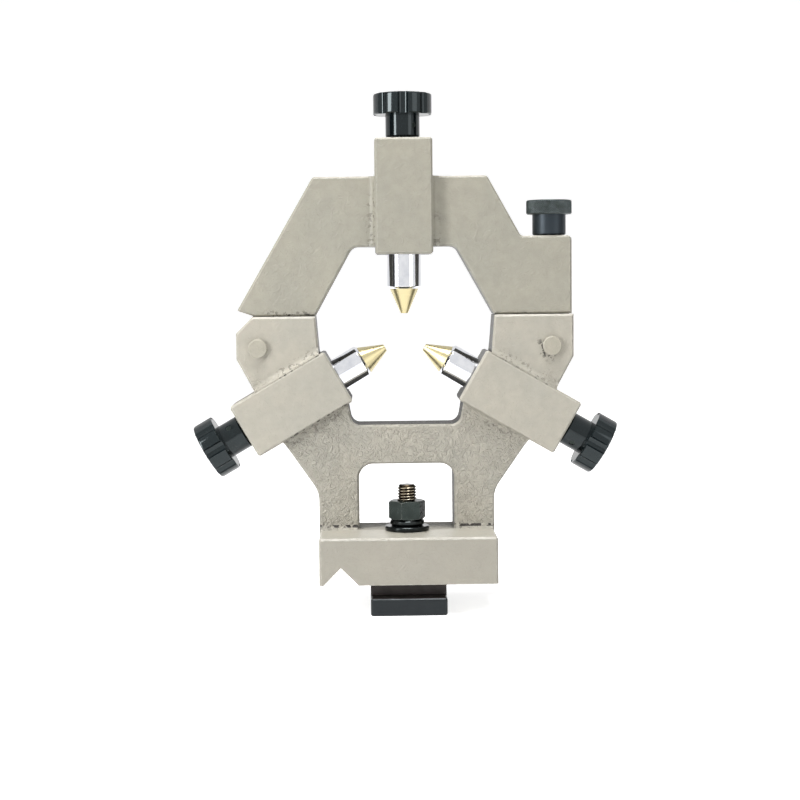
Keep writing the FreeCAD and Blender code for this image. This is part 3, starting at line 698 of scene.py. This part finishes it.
def grown(tree, name, foot, **inputs):
    """Runs a geometry tree and returns its result as a plain mesh with its foot at a point."""
    carrier = new_object(name, bpy.data.meshes.new(name))
    modifier = carrier.modifiers.new("grow", "NODES")
    modifier.node_group = tree
    for item in tree.interface.items_tree:
        label = item.name.replace(" ", "_")
        if item.in_out == "INPUT" and label in inputs:
            modifier[item.identifier] = inputs[label]
    bpy.context.view_layer.update()
    evaluated = carrier.evaluated_get(bpy.context.evaluated_depsgraph_get())
    mesh = bpy.data.meshes.new_from_object(evaluated)
    bpy.data.objects.remove(carrier)
    mesh.name = name
    mesh.transform(Matrix.Translation(foot))
    return mesh


# %% Threaded stud and clamp screw
def radius_and_length(node):
    """Radius and length of an upright round piece."""
    low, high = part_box(node)
    return (high[0] - low[0]) / 2, high[2] - low[2]


def threaded_piece(node, pitch, depth, taper, material):
    """A threaded rod as long and as thick as its node; the other sizes are in millimetres."""
    radius, length = radius_and_length(node)
    mesh = grown(
        thread_tree, f"{node}_thread", foot_of(node), Radius=radius, Length=length,
        Pitch=pitch * MM, Depth=depth * MM, Taper=taper * MM,
        Rings=round(length / (pitch * MM) * RINGS_PER_TURN), Material=material,
    )
    print(node, round(length / MM, 1), "mm,", len(mesh.polygons), "faces")
    finish_piece(f"{node}_threaded", mesh, node, material)


threaded_piece("clamp_stud", 1.5, 0.85, 1.3, STUD_STEEL)
threaded_piece("clamp_screw", 1.25, 0.7, 1.0, STEEL)

# %% [markdown]
# ## The knurled clamp knob
#
# A knurl is pressed in by two wheels with slanting teeth, which leave a field of small diamonds for the
# fingers to grip. The same kind of tree makes it: a turned bar whose head is dented where two families
# of slanting lines cross. A profile by height gives the hub, the step up to the head and its bevels.

# %% Knurl tree
KNOB_POINTS, KNOB_RINGS = 384, 150
knurl_tree, given, end = new_group(
    "Knurled knob", "GeometryNodeTree",
    {
        "Geometry": (GEOMETRY, None), "Radius": (FLOAT, 12 * MM), "Length": (FLOAT, 18 * MM),
        "Hub radius": (FLOAT, 8.8 * MM), "Hub length": (FLOAT, HUB_LENGTH), "Bevel": (FLOAT, 0.6 * MM),
        "Teeth": (FLOAT, 64.0), "Depth": (FLOAT, 0.35 * MM), "Material": ("NodeSocketMaterial", None),
    },
    {"Geometry": GEOMETRY},
)
bar = round_bar(knurl_tree, given, KNOB_POINTS, KNOB_RINGS)
x, y, z, turn = fields(knurl_tree)
lean = maths(knurl_tree, "DIVIDE", z, product(knurl_tree, given["Radius"], math.tau))
lines = []
for sign in (1, -1):
    slanted = maths(knurl_tree, "MULTIPLY_ADD", lean, float(sign), turn)
    phase = maths(knurl_tree, "FRACT", product(knurl_tree, slanted, given["Teeth"]))
    lines.append(product(knurl_tree, maths(knurl_tree, "PINGPONG", phase, 0.5), 2.0))
dent = maths(knurl_tree, "SUBTRACT", 1.0, remap(knurl_tree, maths(knurl_tree, "MINIMUM", *lines), 0.05, 0.75))
in_head = maths(knurl_tree, "GREATER_THAN", z, maths(knurl_tree, "ADD", given["Hub length"], given["Bevel"]))
below_rim = maths(knurl_tree, "LESS_THAN", z, maths(knurl_tree, "SUBTRACT", given["Length"], given["Bevel"]))
dent = product(knurl_tree, dent, in_head, below_rim, given["Depth"])
head = maths(knurl_tree, "SUBTRACT", given["Radius"], dent)
to_top = maths(knurl_tree, "SUBTRACT", given["Length"], z)
to_step = maths(knurl_tree, "SUBTRACT", z, given["Hub length"])
to_rim = maths(knurl_tree, "MINIMUM", to_top, to_step)
bevelled = maths(knurl_tree, "ADD", maths(knurl_tree, "SUBTRACT", given["Radius"], given["Bevel"]), to_rim)
head = maths(knurl_tree, "MINIMUM", head, bevelled)
foot_bevel = maths(knurl_tree, "ADD", maths(knurl_tree, "SUBTRACT", given["Hub radius"], given["Bevel"]), z)
hub = maths(knurl_tree, "MINIMUM", given["Hub radius"], foot_bevel)
is_head = maths(knurl_tree, "GREATER_THAN", z, given["Hub length"])
reach = add(knurl_tree, "ShaderNodeMix", {"Factor": is_head, 2: hub, 3: head}, data_type="FLOAT").outputs[0]
share = maths(knurl_tree, "DIVIDE", reach, given["Radius"])
knurled = scaled_across(knurl_tree, bar, x, y, z, share)
hand_over(knurl_tree, end, knurled, given["Material"])

# %% Clamp knob
radius, length = radius_and_length("clamp_knob")
knob_mesh = grown(
    knurl_tree, "clamp_knob_mesh", foot_of("clamp_knob"), Radius=radius, Length=length,
    Hub_length=HUB_LENGTH, Material=KNURLED,
)
finish_piece("clamp_knob_knurled", knob_mesh, "clamp_knob", KNURLED)
print("clamp knob", len(knob_mesh.polygons), "faces")

# %% [markdown]
# ## Nut, washers and clamp plate
#
# These are plain blackened steel. Their edges only need the same rounding, wider on the spring washer,
# whose wire is nearly round, than on the nut.

# %% Bed clamp pieces
CLAMP_LOOKS = {  # width of the rounding, and finish
    "clamp_nut": (0.22, BLACK_OXIDE),
    "flat_washer": (0.2, BLACK_SPRING),
    "lock_washer": (0.5, BLACK_SPRING),
    "clamp_plate": (0.3, PLATE_BLACK),
}
for node, (width, material) in CLAMP_LOOKS.items():
    finish_piece(f"{node}_finished", rounded_copy(node, width), node, material)

# %% [markdown]
# ## Floor, light and camera
#
# A pale sweep runs from under the rest up behind it. A tall soft lamp on the left draws bright stripes down
# the glossy knobs and gives the pins their crescents of shade. A weaker one fills from the right, one
# overhead brightens the top of the foot, and the sky lights the rest evenly. Two dark cards that only
# reflections see put dark bands down the sides of the chrome and the knobs. The camera and the reflections
# see the sky and the sweep nearly white.

# %% Sweep and cards
FLOOR_HEIGHT = CAD_BOX[0][2]
SWEEP_HALF_WIDTH = 6.0
SWEEP_FRONT, SWEEP_BACK, SWEEP_TOP = -4.0, 2.0, 5.0  # where the floor starts, bends up, and ends
SWEEP_BEND, SWEEP_STEPS = 1.5, 16
CARD_DISTANCE, CARD_CENTRE_HEIGHT, CARD_HEIGHT = 0.78, 0.22, 1.1
CARDS = (("left", -81, 0.42), ("right", 92, 0.36))  # name, bearing from the camera's side, width
WHITE = (1.0, 1.0, 1.0, 1.0)
PALE = (0.86, 0.86, 0.86, 1.0)
DARK = (0.02, 0.02, 0.02, 1.0)


def seen_directly(tree):
    """1 for rays from the camera and for those that reflect or pass through, 0 for light on matt faces."""
    path = add(tree, "ShaderNodeLightPath").outputs
    seen = maths(tree, "MAXIMUM", path["Is Camera Ray"], path["Is Glossy Ray"])
    return maths(tree, "MAXIMUM", seen, path["Is Transmission Ray"])


def mesh_from(shape, name):
    """Turns a bmesh into a mesh and frees it."""
    mesh = bpy.data.meshes.new(name)
    shape.to_mesh(mesh)
    shape.free()
    return mesh


def sweep():
    """Floor that curves up into a backdrop."""
    shape = bmesh.new()
    line = [(SWEEP_FRONT, 0.0), (SWEEP_BACK, 0.0)]
    for step in range(1, SWEEP_STEPS + 1):
        angle = math.pi / 2 * step / SWEEP_STEPS
        line.append((SWEEP_BACK + SWEEP_BEND * math.sin(angle), SWEEP_BEND * (1 - math.cos(angle))))
    line.append((SWEEP_BACK + SWEEP_BEND, SWEEP_TOP))
    sides = (-SWEEP_HALF_WIDTH, SWEEP_HALF_WIDTH)
    rows = [[shape.verts.new((x, y, FLOOR_HEIGHT + z)) for x in sides] for y, z in line]
    for near, far in zip(rows, rows[1:]):
        shape.faces.new((near[0], near[1], far[1], far[0]))
    mesh = mesh_from(shape, "sweep")
    shade_smooth(mesh)
    return new_object("sweep", mesh)


def lit_for_camera(name, colour, glow):
    """Matt finish that glows for camera rays and reflections only."""
    made, tree, shader = new_finish(name)
    feed(
        tree, shader, Base_Color=colour, Roughness=0.9, Emission_Color=WHITE,
        Emission_Strength=product(tree, seen_directly(tree), glow),
    )
    return made


def dark_card(name, bearing, width):
    """Tall dark card that faces the rest and that only reflections see."""
    angle = math.radians(bearing)
    across, away = CARD_DISTANCE * math.sin(angle), -CARD_DISTANCE * math.cos(angle)
    centre = Vector((across, away, CARD_CENTRE_HEIGHT))
    facing = (WORK_CENTRE - centre).to_track_quat("Z", "Y").to_matrix().to_4x4()
    place = Matrix.Translation(centre) @ facing
    shape = bmesh.new()
    half_x, half_y = width / 2, CARD_HEIGHT / 2
    corners = [(-half_x, -half_y), (half_x, -half_y), (half_x, half_y), (-half_x, half_y)]
    shape.faces.new([shape.verts.new(place @ Vector((x, y, 0))) for x, y in corners])
    made, tree, shader = new_finish(name)
    feed(tree, shader, Base_Color=DARK, Roughness=0.9)
    piece = new_object(name, mesh_from(shape, name))
    piece.data.materials.append(made)
    piece.visible_camera = False
    piece.visible_diffuse = False
    piece.visible_shadow = False


floor = sweep()
floor.data.materials.append(lit_for_camera("sweep_white", PALE, 0.78))
for side, bearing, width in CARDS:
    dark_card(f"dark_card_{side}", bearing, width)


# %% Lamps and sky
def soft_lamp(name, place, aim, width, height, power):
    """Rectangular area lamp turned to a point; sizes in metres and power in watts."""
    lamp = bpy.data.lights.new(name, "AREA")
    lamp.shape = "RECTANGLE"
    lamp.size = width
    lamp.size_y = height
    lamp.energy = power
    made = new_object(name, lamp)
    made.location = place
    made.rotation_euler = (Vector(aim) - Vector(place)).to_track_quat("-Z", "Y").to_euler()


soft_lamp("key", (-0.95, -0.74, 0.45), (0, 0, 0.14), 0.3, 0.75, 10.4)
soft_lamp("fill", (1.1, -1.0, 0.45), (0, 0, 0.1), 0.5, 0.9, 2.4)
soft_lamp("top", (0.0, -0.25, 1.35), (0, -0.02, 0.1), 0.6, 0.6, 19.5)
SKY_LIGHT = 0.14  # the sky's light on the rest, where 1 is the white that the camera sees
world = bpy.data.worlds.new("studio")
bpy.context.scene.world = world
world.use_nodes = True
sky = world.node_tree
background = next(n for n in sky.nodes if n.type == "BACKGROUND")
background.inputs["Color"].default_value = WHITE
strength = maths(sky, "MULTIPLY_ADD", seen_directly(sky), 1 - SKY_LIGHT, SKY_LIGHT)
sky.links.new(strength, background.inputs["Strength"])

# %% Camera
FOCAL_PIXELS = 1700.0  # focal length for a frame of 800 pixels
FRAME_PIXELS = 800.0
SENSOR_MM = 36.0
CAMERA_PLACE = (-0.0196, -0.8999, 0.153)
CAMERA_PITCH, CAMERA_YAW, CAMERA_ROLL = -3.94, -1.07, -0.6  # degrees


def camera_axes(pitch, yaw, roll):
    """Rotation matrix of a camera that looks along +Y before it is turned."""
    level = Matrix.Rotation(math.radians(90 + pitch), 4, "X")
    return Matrix.Rotation(math.radians(yaw), 4, "Z") @ level @ Matrix.Rotation(math.radians(roll), 4, "Z")


lens = bpy.data.cameras.new("camera")
lens.sensor_width = SENSOR_MM
lens.lens = FOCAL_PIXELS / FRAME_PIXELS * SENSOR_MM
lens.clip_start = 0.01
camera = new_object("camera", lens)
camera.matrix_world = Matrix.Translation(CAMERA_PLACE) @ camera_axes(CAMERA_PITCH, CAMERA_YAW, CAMERA_ROLL)
bpy.context.scene.camera = camera
bpy.context.scene.view_settings.view_transform = "Standard"
